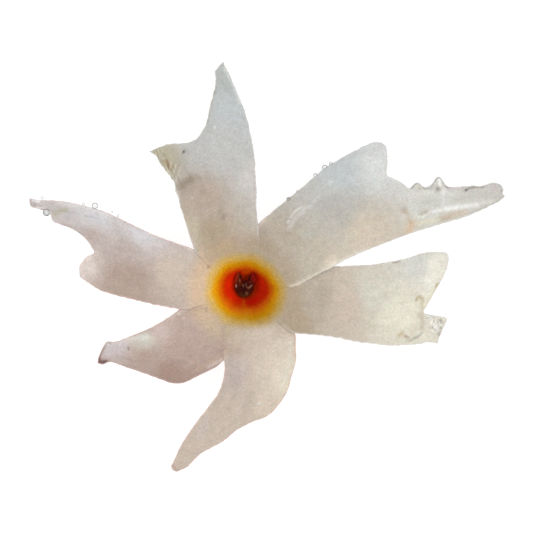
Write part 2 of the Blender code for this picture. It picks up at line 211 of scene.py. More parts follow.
# Soft folds and bumps by lobe, as in the source: first end, second end, width and height
FOLDS = {
    "top": [
        ((-2.4, 12.2), (-1.9, 17.6), 0.9, 0.28), ((-5.6, 10.6), (-4.6, 8.9), 0.5, -0.16),
    ],
    "upper_right": [
        ((13.6, 5.9), (19.8, 7.7), 0.55, 0.34), ((7.2, 9.6), (10.6, 11), 1.1, 0.26),
        ((12.6, 7.4), (15.4, 7.6), 0.5, -0.18),
    ],
    "right": [
        ((7, -0.6), (14.4, 0.6), 1.3, 0.22), ((13.8, -3.4), (14.5, -3), 0.5, -0.16),
        ((15.5, 2.3), (15.2, 0.4), 0.7, 0.2),
    ],
    "bottom": [
        ((0.3, -5), (-1.2, -12), 1, 0.2),
    ],
    "lower_left": [
        ((-4.6, -3.9), (-10.2, -4.8), 1.1, 0.24),
    ],
    "left": [
        ((-6.6, 1.6), (-12, 4.9), 1.2, 0.24), ((-14.4, 6.1), (-15.6, 6.5), 0.5, -0.3),
    ],
}

# Tones, as red, green and blue on a screen
TONES = {
    "frost": (219, 221, 219), "cool": (197, 202, 203), "dull cool": (187, 192, 189),
    "mist": (215, 213, 215), "lilac": (211, 200, 201), "neutral": (197, 197, 195),
    "stone": (187, 184, 176), "steel": (184, 184, 184), "chalk": (208, 205, 200),
    "pale sage": (215, 215, 208), "sage": (211, 209, 196), "dim sage": (202, 202, 190),
    "milk": (236, 233, 220), "ivory": (229, 226, 209), "bright cream": (232, 222, 203),
    "cream": (219, 206, 188), "sand": (209, 197, 179), "straw": (187, 181, 158),
    "light straw": (197, 187, 166), "light grey": (203, 189, 175), "warm grey": (190, 181, 166),
    "taupe": (182, 171, 156), "beige": (185, 170, 157), "clay": (191, 172, 156),
    "olive beige": (176, 160, 138), "khaki": (186, 164, 135), "rose grey": (194, 180, 173),
    "pink grey": (206, 189, 182), "rose": (189, 167, 157), "blush": (223, 212, 205),
    "mauve": (182, 162, 150), "dusky rose": (177, 150, 138), "peach": (214, 187, 158),
    "pink": (222, 186, 180), "shade": (158, 146, 130), "ochre shade": (185, 158, 130),
    "olive": (184, 181, 156), "olive brown": (172, 152, 104), "pale straw": (229, 223, 190),
    "brown": (150, 118, 92), "umber": (138, 110, 82), "plum": (112, 84, 80), "smoke": (150, 146, 140),
    "dark": (84, 72, 66), "white": (249, 249, 247), "pale pink": (244, 212, 202),
}

# Broad washes of colour by lobe: tone, place in the picture, and how far it reaches, in pixels
AREAS = {
    "top": [
        ("straw", 165, 160, 10),
        ("dull cool", 221, 82, 18), ("cool", 230, 108, 22), ("neutral", 219, 142, 25),
        ("chalk", 250, 176, 9), ("beige", 204, 196, 16), ("olive beige", 211, 232, 11),
        ("light straw", 188, 230, 11),
    ],
    "upper_right": [
        ("taupe", 284, 240, 13), ("warm grey", 312, 256, 16), ("cool", 345, 174, 22),
        ("frost", 374, 168, 19), ("stone", 342, 212, 22), ("sand", 362, 230, 21),
        ("pale sage", 424, 199, 12), ("cream", 331, 263, 8),
    ],
    "right": [
        ("olive beige", 297, 322, 9),
        ("taupe", 319, 298, 13), ("light grey", 347, 302, 15), ("sage", 372, 294, 14),
        ("ivory", 398, 311, 13), ("pale sage", 418, 264, 10), ("milk", 437, 270, 11),
    ],
    "bottom": [
        ("clay", 231, 344, 8), ("cream", 266, 366, 8), ("rose grey", 233, 376, 13),
        ("bright cream", 282, 380, 13), ("light grey", 244, 398, 18), ("cream", 264, 399, 16),
    ],
    "lower_left": [
        ("pink grey", 160, 334, 12), ("rose", 180, 347, 21), ("sage", 146, 342, 11),
        ("rose", 148, 356, 14), ("dusky rose", 170, 373, 13), ("lilac", 118, 345, 8),
    ],
    "left": [
        ("light grey", 168, 273, 10), ("mist", 140, 235, 14), ("rose grey", 128, 251, 15),
        ("mauve", 127, 277, 17), ("mist", 98, 216, 14), ("rose grey", 92, 235, 10), ("blush", 89, 265, 9),
    ],
}

# The washes that all lobes share round the eye
SHARED_AREAS = [
    ("clay", 237, 230, 18), ("khaki", 226, 246, 14), ("olive beige", 265, 243, 26),
    ("taupe", 284, 240, 19), ("olive beige", 289, 308, 16), ("light grey", 267, 338, 12),
    ("peach", 203, 282, 15),
]

# Marks, creases and ridges by lobe: tone, how much of it shows, width in pixels, and places in the picture.
# A lift in millimetres and a wetness follow where there is one. Some marks are painted light and shade:
# painted highlights along ridges and edges, painted glints, and painted shade in creases and folds and next
# to the lobes that lie over them
MARKS = {
    "top": [
        ("straw", 0.4, 4, [(151, 150), (158, 160), (166, 171), (174, 184)], -0.03, 0.2),
        ("umber", 0.55, 2, [(166, 161), (170, 168)], -0.03),
        # Painted highlights along the crests of the crumpled ribs, and painted shade in the grooves between
        # them
        ("cream", 0.4, 0.8, [(161, 154), (159, 160)], 0.02, 0.2),
        ("cream", 0.5, 0.8, [(172, 162), (169, 171)], 0.02, 0.2),
        ("cream", 0.5, 0.8, [(176, 165), (173, 175)], 0.02, 0.2),
        ("cream", 0.45, 0.8, [(180, 168), (176, 180)], 0.02, 0.2),
        ("umber", 0.3, 0.7, [(174, 163), (171, 171)], -0.02),
        ("umber", 0.25, 0.7, [(178, 166), (175, 175)], -0.02),
        ("shade", 0.85, 4.4, [(182, 186), (185.5, 182.5), (191, 179)], -0.04),
        ("shade", 0.45, 1.8, [(196, 176), (200, 178)], -0.02),
        ("dark", 1, 0.9, [(183.2, 152.8), (184.2, 150.6)], -0.02),
        ("shade", 0.85, 2.1, [(223, 216.5), (223, 218.5)]),
        ("shade", 0.4, 1.8, [(220.5, 209.5), (218.7, 214.5)]), ("shade", 0.85, 1.3, [(212.2, 239)]),
        ("shade", 0.45, 1.6, [(215, 88), (209, 108), (207, 122)]),
        ("stone", 0.75, 2.4, [(215, 67), (213.5, 74), (214.5, 84)]),
        ("white", 0.7, 2, [(173, 187), (177.5, 198)]),
        ("white", 0.4, 1.8, [(224, 68), (233, 85), (240, 102)]),
        # Painted glints: two small white specks on wet spots
        ("white", 0.65, 1.3, [(215, 127)], 0.02, 0.6), ("white", 0.5, 1.1, [(192, 198)], 0.02, 0.6),
        ("rose", 0.22, 1.3, [(254, 172), (256, 205), (255, 238)]),
        ("pink grey", 0.45, 2.2, [(187, 228), (192, 240), (196, 249)]),
        ("pink", 0.35, 1.6, [(201.5, 246), (203, 256)]),
        ("peach", 0.6, 1.8, [(199, 253), (204, 259.5), (208.5, 266)]), ("brown", 0.55, 1.4, [(209, 266)]),
    ],
    "upper_right": [
        ("shade", 0.35, 5, [(262, 230), (266, 246)]),
        ("pale pink", 0.5, 1.7, [(257, 236), (258, 226), (264, 220)]),
        # Painted highlight along the curved ridge, continued by paler painted light in the mist lines
        (
            "white", 0.5, 0.8, [(287.6, 224), (288.5, 220.9), (291.7, 214.9), (296.8, 209.8), (301.8, 207)],
            0.04, 0.5,
        ),
        ("mist", 0.6, 1.7, [(303, 209), (310, 206), (314.7, 200), (319.3, 195)], 0.03, 0.3),
        ("mist", 0.55, 2, [(289, 229), (292, 223), (296.3, 216.7), (303, 212)], 0.03, 0.3),
        ("steel", 0.35, 6, [(318, 203), (335, 200), (345, 205)], -0.02),
        # The white speck is a painted glint
        ("dull cool", 0.35, 3.5, [(304, 235), (312, 233)]), ("white", 0.6, 1.3, [(331, 182)], 0.02, 0.8),
        # Painted highlight along the lower edge
        ("bright cream", 0.65, 2.4, [(291, 287), (300, 283), (318, 274), (333, 266)], 0.02, 0.1),
        ("milk", 0.6, 3, [(333, 266), (352, 257), (371, 250)], 0.01, 0.1),
        ("brown", 0.3, 3, [(404, 210.5)], 0, 0.1), ("peach", 0.8, 4.2, [(409, 231), (411, 224)], 0, 0.1),
        ("khaki", 0.35, 1.6, [(405.5, 211), (409, 217), (410, 222)], 0, 0.1),
        ("taupe", 0.5, 2, [(420.5, 214), (426, 211.5)], -0.02, 0.1),
        ("milk", 0.5, 1.1, [(414.5, 212), (418, 216.5), (424, 217), (431, 211.5)], 0.03, 0.3),
        ("pale straw", 0.45, 2.6, [(418, 224), (438, 219)], 0, 0.1),
        # Orange-brown along the lower strip of the folded long lobe: partly its own colour, partly painted
        # shade where the strip faces down
        ("peach", 0.42, 3.6, [(443, 218), (452, 215), (464, 212)], -0.02, 0.1),
        ("ochre shade", 0.3, 1.5, [(441, 219), (450, 217)], 0, 0.1),
        # Painted highlights along the glossy ridge of the long lobe
        ("white", 0.68, 2.8, [(447, 208.8), (462, 207.2), (476, 205.2)], 0.04, 0.3),
        ("white", 0.58, 2.2, [(433, 211.8), (445, 209)], 0.03, 0.3),
        ("white", 0.35, 1.8, [(478, 204.8), (492, 200.5)], 0.02, 0.2),
        ("white", 0.32, 1.9, [(443.5, 190), (443, 206)], 0.01, 0.2),
        ("dim sage", 0.4, 4.5, [(424, 203), (437, 200)]),
        ("smoke", 0.25, 0.7, [(441, 221), (470, 213), (484, 208), (497, 201.5), (503, 197.5)], 0, 0.2),
        ("lilac", 0.55, 2.2, [(448, 189), (462, 188.5)], 0, 0.4),
        ("smoke", 0.6, 1.2, [(447, 187), (463, 186.3)], 0, 0.4),
        ("smoke", 0.85, 1, [(465, 190.5), (469, 188), (476, 186.8), (483, 187.3)], -0.02, 0.5),
        ("dark", 0.55, 1.3, [(466.3, 190.2)], 0, 0.3),
        ("lilac", 0.6, 2.6, [(491, 188), (498, 188.5)], 0.02, 0.5),
        ("smoke", 0.16, 0.9, [(484, 187.5), (488, 184.8), (493, 184), (499, 185.5), (502.5, 189)], 0.02, 0.6),
        ("smoke", 0.6, 1.2, [(501.5, 191), (503.5, 194.5)], 0, 0.5),
        ("smoke", 0.85, 1, [(440, 177.5), (443.5, 181.5), (446.8, 187)], 0, 0.6),
        ("smoke", 0.6, 0.8, [(436.5, 178), (433.5, 183.5), (431.5, 187)], 0, 0.6),
        # Painted glint on the wet crinkled edge
        ("white", 0.8, 1, [(439.5, 179.5), (440.3, 185.5)], 0.03, 0.8),
        ("dark", 0.42, 2.6, [(438, 189)], 0, 0.3),
        (
            "smoke", 0.7, 0.9, [(411.5, 188.5), (414.5, 184.5), (418, 182.8), (421.5, 185.5), (424, 188)],
            0, 0.5,
        ),
        ("brown", 0.5, 1.3, [(419.5, 188.3)], 0, 0.3),
        ("smoke", 0.5, 1.2, [(424, 188.5), (431, 188.5)], 0, 0.4),
    ],
    "right": [
        ("shade", 0.75, 1.1, [(394, 262.5), (399, 261.3)]),
        ("stone", 0.12, 1, [(410, 257), (430, 253.5), (445, 254.5)]),
        ("olive brown", 0.62, 1.2, [(416, 301), (417.5, 297.5), (420.5, 297), (423, 300)], 0.02, 0.3),
        ("olive brown", 0.28, 1.7, [(421.5, 303), (422.5, 311)], -0.02, 0.1),
        ("olive brown", 0.65, 1.2, [(437.5, 284), (436, 287)], 0, 0.1),
        ("pale straw", 0.6, 1.5, [(434, 290), (429, 299), (425.5, 306)], 0, 0.1),
        # Painted light on the lit side of the fold, painted shade on its far side, and a line of painted
        # shade in the crease below
        ("bright cream", 0.4, 4, [(414, 307), (413, 322), (411, 334)], 0.04, 0.1),
        ("clay", 0.45, 2.4, [(420.5, 315), (422.5, 320), (421.8, 328)], -0.03, 0.1),
        ("smoke", 0.5, 1.1, [(409.4, 341), (414, 338.5), (419, 336), (422, 333)], -0.04, 0.4),
        ("olive brown", 0.45, 2, [(399, 335.5), (402.5, 333)], 0, 0.1),
        ("brown", 0.45, 1.3, [(405, 336), (408, 337.5)], 0, 0.1),
        ("white", 0.5, 2.4, [(426, 312), (431, 318)], 0, 0.4),
        # Painted light that lightens the shadow in the seam with the bottom lobe
        ("bright cream", 0.25, 1.8, [(284, 327), (288, 331), (293, 334)]),
        ("pale sage", 0.35, 9, [(435, 326)], 0, 1),
        ("smoke", 0.6, 1, [(436, 314.8), (446, 316.3)], 0.02, 0.8),
        ("smoke", 0.75, 1.2, [(440.5, 320), (442, 322.5)], 0, 0.9),
        # Painted highlight on the wet lobe
        ("white", 0.85, 0.8, [(432.5, 324), (435, 327.5), (438.5, 330)], 0.04, 1),
        ("smoke", 0.45, 0.8, [(432, 327.5), (435, 330.5)], -0.02, 0.9),
        ("smoke", 0.6, 1.1, [(438, 333.5), (440.5, 337)], 0, 0.9),
        ("smoke", 0.4, 1, [(441.5, 328), (439.5, 334)], 0, 0.8),
        ("smoke", 0.35, 0.8, [(427, 318), (434, 317)], 0.02, 0.8),
    ],
    "bottom": [
        ("rose grey", 0.3, 3.6, [(229, 352), (232, 380), (236, 396)], -0.02),
        # Painted light that lightens the shadow in the seam with the right lobe
        ("cream", 0.45, 2.4, [(281, 326), (288, 331), (294, 336)]),
        ("peach", 0.5, 1.6, [(295.5, 337), (296, 347), (295, 357)]), ("smoke", 0.25, 2, [(234, 396.5)]),
        ("milk", 0.35, 1.8, [(290, 342), (289, 365), (281, 388)]),
        # Painted glint
        ("white", 0.8, 0.9, [(258, 403.6), (259.6, 403.2)], 0.02, 0.5),
        ("lilac", 0.4, 3.5, [(207, 420), (199, 436)]),
        ("blush", 0.25, 1.8, [(242, 360), (244, 395), (238, 420)]),
        ("khaki", 0.45, 3, [(228, 330), (228, 352)]),
        ("dusky rose", 0.55, 1.5, [(172.5, 465), (176, 470), (182, 470)], 0, 0.1),
    ],
    "lower_left": [
        ("shade", 0.3, 3, [(178, 306.5), (206, 309)]),
        # Painted shadow along the edge where the bottom lobe lies over this one
        ("dusky rose", 0.38, 3.5, [(224, 327), (221, 343), (222, 357)]),
        # The two white specks are painted glints
        ("brown", 0.3, 0.9, [(206, 309), (206.5, 312)]), ("white", 0.5, 1, [(179, 314)], 0.02, 0.4),
        ("white", 0.35, 1, [(183.5, 318)], 0.02, 0.4), ("dark", 0.5, 0.9, [(108.5, 343.2), (111, 343.6)]),
        ("plum", 0.92, 2.3, [(98.5, 360), (101, 362.6), (106, 362)]),
        ("plum", 0.4, 1.1, [(106, 345), (101.5, 352), (99, 359)]),
        ("mist", 0.45, 4, [(108, 347), (108, 353)]), ("dark", 0.38, 0.8, [(128, 347), (128.8, 349.5)]),
        # Painted highlight along the upper edge towards the tip
        ("white", 0.36, 3, [(106, 343), (116, 342), (134, 338), (147, 337)], 0.02, 0.1),
        ("peach", 0.35, 2.2, [(196, 370), (215, 360)]), ("blush", 0.55, 1.7, [(208, 367.5), (222, 359.5)]),
        ("blush", 0.6, 1.6, [(150, 327), (162, 321), (181, 311), (190, 307)]),
    ],
    "left": [
        # Olive, darker in the hollow of the curled tip: partly its own colour, partly painted shade
        ("olive", 0.65, 2.8, [(54, 213.5), (60, 211), (66, 209.5)], -0.04, 0.2),
        ("peach", 0.55, 1.8, [(199, 256), (204, 262), (206, 268), (206.5, 275)]),
        # The beige line is painted shade in the crease at the notch
        ("brown", 0.6, 1.4, [(208, 267.5)]), ("beige", 0.45, 2.6, [(94, 253), (97, 259), (99, 266)], -0.02),
        ("pink", 0.35, 1.8, [(92, 252.5), (85, 260), (81, 270), (83, 279)]),
        ("blush", 0.5, 2, [(187, 247), (196, 250), (206, 256)], 0.02, 0.3),
        # Painted glints: two small white specks
        ("white", 0.6, 0.9, [(190, 249)], 0.02, 0.5), ("white", 0.6, 0.9, [(198, 252.5)], 0.02, 0.5),
        ("mauve", 0.65, 2, [(60, 223), (75, 233), (86, 244), (94, 255)], 0, 0.1),
        ("beige", 0.55, 2.4, [(66, 226), (74, 231)]), ("smoke", 0.7, 1.1, [(29, 199), (29.5, 204)], 0, 0.8),
        ("smoke", 0.42, 1.1, [(31, 206), (41, 206.6)], 0, 0.8),
        # Painted glint on the wet tip
        ("white", 0.75, 0.8, [(33, 200.5), (39, 202)], 0.03, 0.9),
        ("smoke", 0.4, 0.7, [(31, 203.5), (36, 204.5)], 0, 0.8),
        ("steel", 0.12, 1.2, [(45, 203.6), (56, 202.5), (68, 203.2)], 0, 0.1),
        ("white", 0.36, 2.8, [(96, 254), (90, 256), (82, 262), (79, 270), (82, 277)]),
        # Painted highlight along the upper margin, where it catches the light
        ("white", 0.3, 2.4, [(60, 203), (80, 206), (100, 211), (112, 215)]),
    ],
}

# The red and yellow eye: its tones from the funnel outwards, the radius of each of them every 45 degrees,
# and how much lighter it is towards the light and to both sides
EYE_TONES = [(172, 30, 6), (183, 34, 3), (189, 85, 3), (196, 132, 7), (197, 159, 79)]
EYE_RADII = [
    (0.9, 1.65, 2.08, 2.46, 2.9), (1.2, 1.62, 1.92, 2.14, 2.6),
    (0.9, 1.44, 1.8, 2.18, 2.6), (1.1, 1.74, 2.04, 2.34, 2.84),
    (0.8, 1.5, 1.94, 2.36, 2.78), (0.6, 1.05, 1.68, 2.1, 2.64),
    (0.5, 0.92, 1.42, 1.98, 2.5), (0.5, 1.15, 1.88, 2.36, 2.92),
]
EYE_LIGHT = (-0.094, 0.03, 0.048)

# Marks in the funnel: tone, amount, width in pixels, and places in the picture
THROAT_MARKS = [
    ((172, 66, 16), 0.75, 4.5, [(246, 270.5), (246.5, 273)]),
    # Painted shade deeper in the funnel between the anthers
    ((122, 34, 12), 0.7, 3.4, [(246, 278)]),
    ((172, 84, 12), 0.5, 1.7, [(243.5, 299), (244, 306)]),
    ((166, 14, 2), 0.4, 3.0, [(256, 300), (250, 303)]),
]

# The anthers' own tone, and their marks in the same form. The pale marks are painted glints,
# and the darkest one, where the anthers meet, is painted shade
ANTHER_TONE = (58.0, 14.0, 6.0)
ANTHER_MARKS = [
    ((122, 9, 3), 0.85, 3.2, [(252, 273), (256, 283)]),
    ((156, 34, 10), 0.75, 2.0, [(238, 273), (234.5, 283)]),
    ((104, 38, 10), 0.6, 1.5, [(239, 277), (240, 285)]),
    ((76, 50, 22), 0.7, 3.0, [(240, 296.5), (248, 296)]),
    # Painted shade where the anthers meet
    ((44, 10, 8), 0.8, 3.0, [(243, 290)]),
    # Painted glints
    ((214, 180, 158), 0.62, 0.7, [(236, 285), (236.3, 287)]),
    ((150, 112, 82), 0.65, 0.7, [(239.5, 280), (243.5, 286.5)]),
    ((150, 118, 92), 0.6, 0.8, [(246.2, 284), (246.8, 287)]),
    ((160, 134, 104), 0.6, 0.8, [(248.5, 288), (251.5, 285.6)]),
    ((126, 52, 38), 0.6, 0.9, [(248.6, 282.6), (249.6, 282.2)]),
    ((150, 130, 96), 0.5, 0.9, [(246.3, 292.6), (247.0, 293.8)]),
]

# Beads of water: lobe, place and radius in the picture. The last one is milky and a little uneven
BEADS = [
    ("upper_right", 288.4, 199.0, 1.9), ("upper_right", 297.3, 191.2, 1.2),
    ("upper_right", 315.6, 175.0, 2.2), ("upper_right", 325.0, 167.6, 3.1),
    ("upper_right", 330.8, 163.6, 1.8), ("left", 94.6, 205.6, 3.2),
    ("left", 83.2, 203.8, 1.5), ("left", 41.2, 197.6, 1.6),
    ("left", 112.0, 212.0, 1.1), ("left", 118.0, 215.5, 1.2),
    ("left", 45.6, 212.4, 3.6),
]
BEAD_HEIGHT = 0.8
BEAD_RISE = 0.25
BEAD_LIFT = 0.02
MILKY_ROUGHNESS = 0.05


# Plain sums
def seen(px, py):
    """The place in the flower's plan, in millimetres, of a point in the picture."""
    return ((px - THROAT_SEEN[0]) * PIXEL, (THROAT_SEEN[1] - py) * PIXEL)


def linear(colour):
    share = np.asarray(colour, float) / SCREEN_WHITE
    return np.where(share <= 0.04045, share / 12.92, ((share + 0.055) / 1.055) ** 2.4)


def as_albedo(paint, light=LIGHT, veil=GLOSS_VEIL):
    """What a surface has to reflect to look like the paint."""
    return np.clip((linear(paint) - veil) / light, 0.001, 0.93)


def smooth_step(x):
    x = np.clip(x, 0, 1)
    return x * x * (3 - 2 * x)


def blend_to(a, b, share):
    return a + (b - a) * share


def laid_over(paint, tone, share):
    """The paint with a tone laid over it, given by name or by colour."""
    tone = np.array(TONES[tone] if isinstance(tone, str) else tone, float)
    return blend_to(paint, tone, share[..., None])


def wobble(x, y, size, seed):
    """Gentle unevenness between about minus one and one, with bumps of the given size in millimetres."""
    total = 0
    rng = np.random.default_rng(seed)
    for _ in range(7):
        angle, phase, stretch = rng.uniform(0, FULL_TURN), rng.uniform(0, FULL_TURN), rng.uniform(0.7, 1.5)
        run = x * math.cos(angle) + y * math.sin(angle)
        total = total + np.sin(run * FULL_TURN / (size * stretch) + phase)
    return total / 3.2


def distance_to(path, x, y):
    """Distance from each place to a path of points, in the same units."""
    if len(path) == 1:
        return np.hypot(x - path[0][0], y - path[0][1])
    best = np.full(np.shape(x), 1e9)
    for (ax, ay), (bx, by) in zip(path[:-1], path[1:], strict=True):
        dx, dy = bx - ax, by - ay
        t = np.clip(((x - ax) * dx + (y - ay) * dy) / (dx * dx + dy * dy), 0, 1)
        best = np.minimum(best, np.hypot(x - ax - t * dx, y - ay - t * dy))
    return best


def nearness(places, width, x, y):
    """One on a path of points in the picture, and less away from it. The width is in pixels."""
    away = distance_to([seen(*p) for p in places], x, y) / (width * PIXEL)
    return np.exp(-(away**2))


def running_length(line):
    return np.concatenate([[0], np.cumsum(np.linalg.norm(np.diff(line, axis=0), axis=1))])


def smooth_curve(points):
    """A dense curve that passes through every point, its running length, and that length at each point."""
    points = np.array(points, float)
    padded = np.vstack([2 * points[0] - points[1], points, 2 * points[-1] - points[-2]])
    t = np.linspace(0, 1, CURVE_STEPS, endpoint=False)[:, None]
    spans = []
    for i in range(1, len(padded) - 2):
        a, b, c, d = padded[i - 1 : i + 3]
        curve = 2 * b + (c - a) * t + (2 * a - 5 * b + 4 * c - d) * t**2 + (3 * b - a - 3 * c + d) * t**3
        spans.append(curve / 2)
    dense = np.vstack([*spans, points[-1:]])
    along = running_length(dense)
    return dense, along, along[::CURVE_STEPS]


def read_off(places, along, line):
    """The points of a line at places along it."""
    return np.column_stack([np.interp(places, along, line[:, k]) for k in (0, 1)])


def grown(line, side, ragged):
    """The line moved outwards by the outline's growth, with a slightly uneven edge."""
    step = np.gradient(line, axis=0)
    step /= np.linalg.norm(step, axis=1)[:, None] + 1e-12
    aside = np.column_stack([-step[:, 1], step[:, 0]]) * side
    uneven = wobble(line[:, 0], line[:, 1], 0.55, 3) + 0.5 * wobble(line[:, 0], line[:, 1], 0.26, 4)
    return line + aside * (OUTLINE_GROWTH + ragged * uneven)[:, None]


# The lobes' shape, as in the source but sampled more finely
def lobe_plan(lobe):
    """A lobe's grid of places in the plan, and its shares across and along, crowded towards the edges."""
    even = np.linspace(0, 1, COLUMNS + 1)
    u = even - 0.8 * np.sin(2 * np.pi * even) / (2 * np.pi)
    even = np.linspace(0, 1, ROWS + 1)
    v = even + 0.25 * (even - even**5)
    ragged = lobe["ragged"]
    end = np.array(lobe["end"], float)
    share = running_length(end)
    share /= share[-1]
    dense_end = grown(smooth_curve(end)[0], 1, ragged)
    dense_share = np.interp(np.arange(len(dense_end)) / CURVE_STEPS, np.arange(len(end)), share)
    end_line = read_off(u, dense_share, dense_end)
    angle = np.radians(lobe["base"][0] + (lobe["base"][1] - lobe["base"][0]) * u)
    root = LOBE_START_RADIUS * np.column_stack([np.cos(angle), np.sin(angle)])
    sides = [[tuple(root[0]), *lobe["left"]], [tuple(root[-1]), *lobe["right"]]]
    ties = [*lobe.get("ties", []), (sides[0][-1], sides[1][-1], lobe["rows"])]
    lines = []
    for index, points in enumerate(sides):
        dense, along, stops = smooth_curve(points)
        wanted = [0.0]
        for tie in ties:
            stop = stops[points.index(tie[index])]
            wanted += list(np.linspace(wanted[-1], stop, tie[2] + 1)[1:])
        fine = np.interp(v * (len(wanted) - 1), np.arange(len(wanted)), wanted)
        lines.append(read_off(fine, along, grown(dense, 1 - 2 * index, ragged)))
    u = u[None, :, None]
    v = v[:, None, None]
    plan = (1 - u) * lines[0][:, None] + u * lines[1][:, None]
    root_bulge = root - (1 - u[0]) * root[0] - u[0] * root[-1]
    end_bulge = end_line - (1 - u[0]) * end_line[0] - u[0] * end_line[-1]
    return plan + (1 - v) ** 3 * root_bulge + v * end_bulge, u[0, :, 0], v[:, 0, 0]


def lobe_reach(lobe):
    return max(np.hypot(*p) for p in lobe["end"])


def lobe_height(name, x, y, u):
    """The height of the middle of the blade, as in the source."""
    lobe = LOBES[name]
    radius = np.hypot(x, y)
    rise = LIMB_RISE * (1 - np.exp(-(radius - RING_INNER_RADIUS) / 2.2))
    out = np.clip((radius - lobe["start"]) / (lobe_reach(lobe) - lobe["start"]), 0, None)
    droop = (LIMB_HEIGHT + LIMB_RISE - lobe["tip"]) * out ** lobe["bend"]
    layer = lobe["layer"] * (0.06 + 0.94 * smooth_step((radius - LAYERS_PART_RADIUS) / 3.2))
    z = LIMB_HEIGHT + rise - droop + layer * (1 - 0.7 * smooth_step((radius - 8) / 6))
    axis = math.radians(lobe["axis"])
    aside = -x * math.sin(axis) + y * math.cos(axis)
    z = z - lobe["camber"] * (aside / 4.5) ** 2 * smooth_step((radius - 3.4) / 5)
    for start, stop, width, height in FOLDS[name]:
        run = np.array(stop) - np.array(start)
        length = np.linalg.norm(run)
        t = ((x - start[0]) * run[0] + (y - start[1]) * run[1]) / length**2
        off = ((x - start[0]) * run[1] - (y - start[1]) * run[0]) / length
        past = np.clip(np.abs(t - 0.5) - 0.5, 0, None) * length
        z = z + height * np.exp(-((off / width) ** 2) - (past / (1.6 * width)) ** 2)
    if name in CURLS:
        depth, sharpness, start, run = CURLS[name]
        z = z - depth * (1 - u) ** sharpness * smooth_step((radius - start) / run)
    return z


# Paint
def area_paint(areas, x, y):
    """Screen tone of a place among broad areas of colour."""
    total = np.zeros((*np.shape(x), 3))
    weight = np.full(np.shape(x), 1e-9)
    for tone, px, py, reach in areas:
        place = seen(px, py)
        away = np.hypot(x - place[0], y - place[1]) / (reach * PIXEL)
        share = 1 / (0.24 + away**2) ** 1.7
        total += share[..., None] * np.array(TONES[tone])
        weight += share
    return total / weight[..., None]


def lobe_paint(name, x, y):
    """Screen tone, lift and wetness of a place on a lobe, with its marks and the painted light and shade
    among them.
    """
    own = smooth_step((np.hypot(x, y) - SHARED_RADIUS) / 1.5)
    paint = blend_to(area_paint(SHARED_AREAS, x, y), area_paint(AREAS[name], x, y), own[..., None])
    lift = np.zeros(np.shape(x))
    wet = np.zeros(np.shape(x))
    for tone, amount, width, places, *rest in MARKS[name]:
        height, damp = (*rest, 0, 0)[:2]
        near = nearness(places, width, x, y)
        paint = laid_over(paint, tone, near * amount)
        lift += height * near
        wet = np.maximum(wet, damp * near)
    if name == "top":
        run = 0.88 * x + 0.42 * y + 0.10 * wobble(x, y, 1.1, 31)
        ribs = nearness(RIBBED, RIB_REACH, x, y) * np.sin(run * FULL_TURN / RIB_SPACING)
        ribs = ribs * (0.7 + 0.5 * wobble(x, y, 0.5, 32))
        # Painted light on the crests of the ribs and painted shade in their grooves
        paint = paint * (1 + RIB_PAINTED_SHADING * ribs)[..., None]
        lift += RIB_LIFT * ribs
    # Where wet, the paint swirls lighter and darker: painted reflections on the glassy film of water
    glass = smooth_step((wet - 0.45) / 0.35)
    painted_sheen_swirl = wobble(x + 0.25 * wobble(x, y, 0.8, 33), y + 0.25 * wobble(x, y, 0.7, 34), 0.36, 35)
    return np.clip(paint * (1 + 0.13 * glass * painted_sheen_swirl)[..., None], 0, LIGHTEST_PAINT), lift, wet


def rim_paint(name, x, y, depth, paint):
    """Lays the lobe's darker rim and the thin bright edge outside it over the paint."""
    radius = np.hypot(x, y)
    tone, width, amount = LOBES[name]["rim"]
    rim = amount * (0.75 + 0.4 * wobble(x, y, 2.2, 8)) * np.exp(-((depth / (width * PIXEL)) ** 2))
    paint = laid_over(paint, tone, np.clip(rim, 0, 1) * smooth_step((radius - 3.2) / 1.5))
    bright = 0.60 * smooth_step(radius - 4.0) * np.exp(-((depth / (0.85 * PIXEL)) ** 2))
    white = smooth_step((radius - PINK_ENDS.get(name, 0)) / PINK_FADE)
    edge = laid_over(np.array(TONES["pale pink"], float), "white", white)
    return laid_over(paint, edge, bright)


def eye_paint(x, y, paint):
    """Lays the eye over a paint: red in the funnel, orange, yellow, and a halo that thins away, with painted
    light and shade that make it lighter towards the light.
    """
    radius = np.hypot(x, y)
    way = np.arctan2(y, x)
    turn = np.degrees(way) % 360 / 45
    low = np.floor(turn).astype(int) % 8
    high = (low + 1) % 8
    share = smooth_step(turn - np.floor(turn))
    stops = np.array(EYE_RADII)
    stop = blend_to(stops[low], stops[high], share[..., None]) + 0.05 * wobble(x, y, 1.3, 5)[..., None]
    result = np.array(EYE_TONES[0], float)
    for k in range(4):
        step = np.clip((radius - stop[..., k]) / (stop[..., k + 1] - stop[..., k]), 0, 1)
        result = laid_over(result, EYE_TONES[k + 1], blend_to(step, smooth_step(step), 0.5))
    ahead, aside, both_ways = EYE_LIGHT
    lit = 1 + ahead * np.cos(way) + aside * np.sin(way) + both_ways * np.cos(2 * way)
    cover = 1 - smooth_step((radius - stop[..., 4] + 0.19) / 0.95)
    return blend_to(paint, result * lit[..., None], cover[..., None])


# Building meshes
def to_row(points):
    return (np.asarray(points, float) - ORIGIN) * MM


def object_from(name, vertices, faces):
    mesh = bpy.data.meshes.new(name)
    mesh.from_pydata([tuple(v) for v in to_row(vertices)], [], faces)
    mesh.update()
    mesh.polygons.foreach_set("use_smooth", np.ones(len(mesh.polygons), bool))
    made = bpy.data.objects.new(name, mesh)
    bpy.context.scene.collection.objects.link(made)
    return made


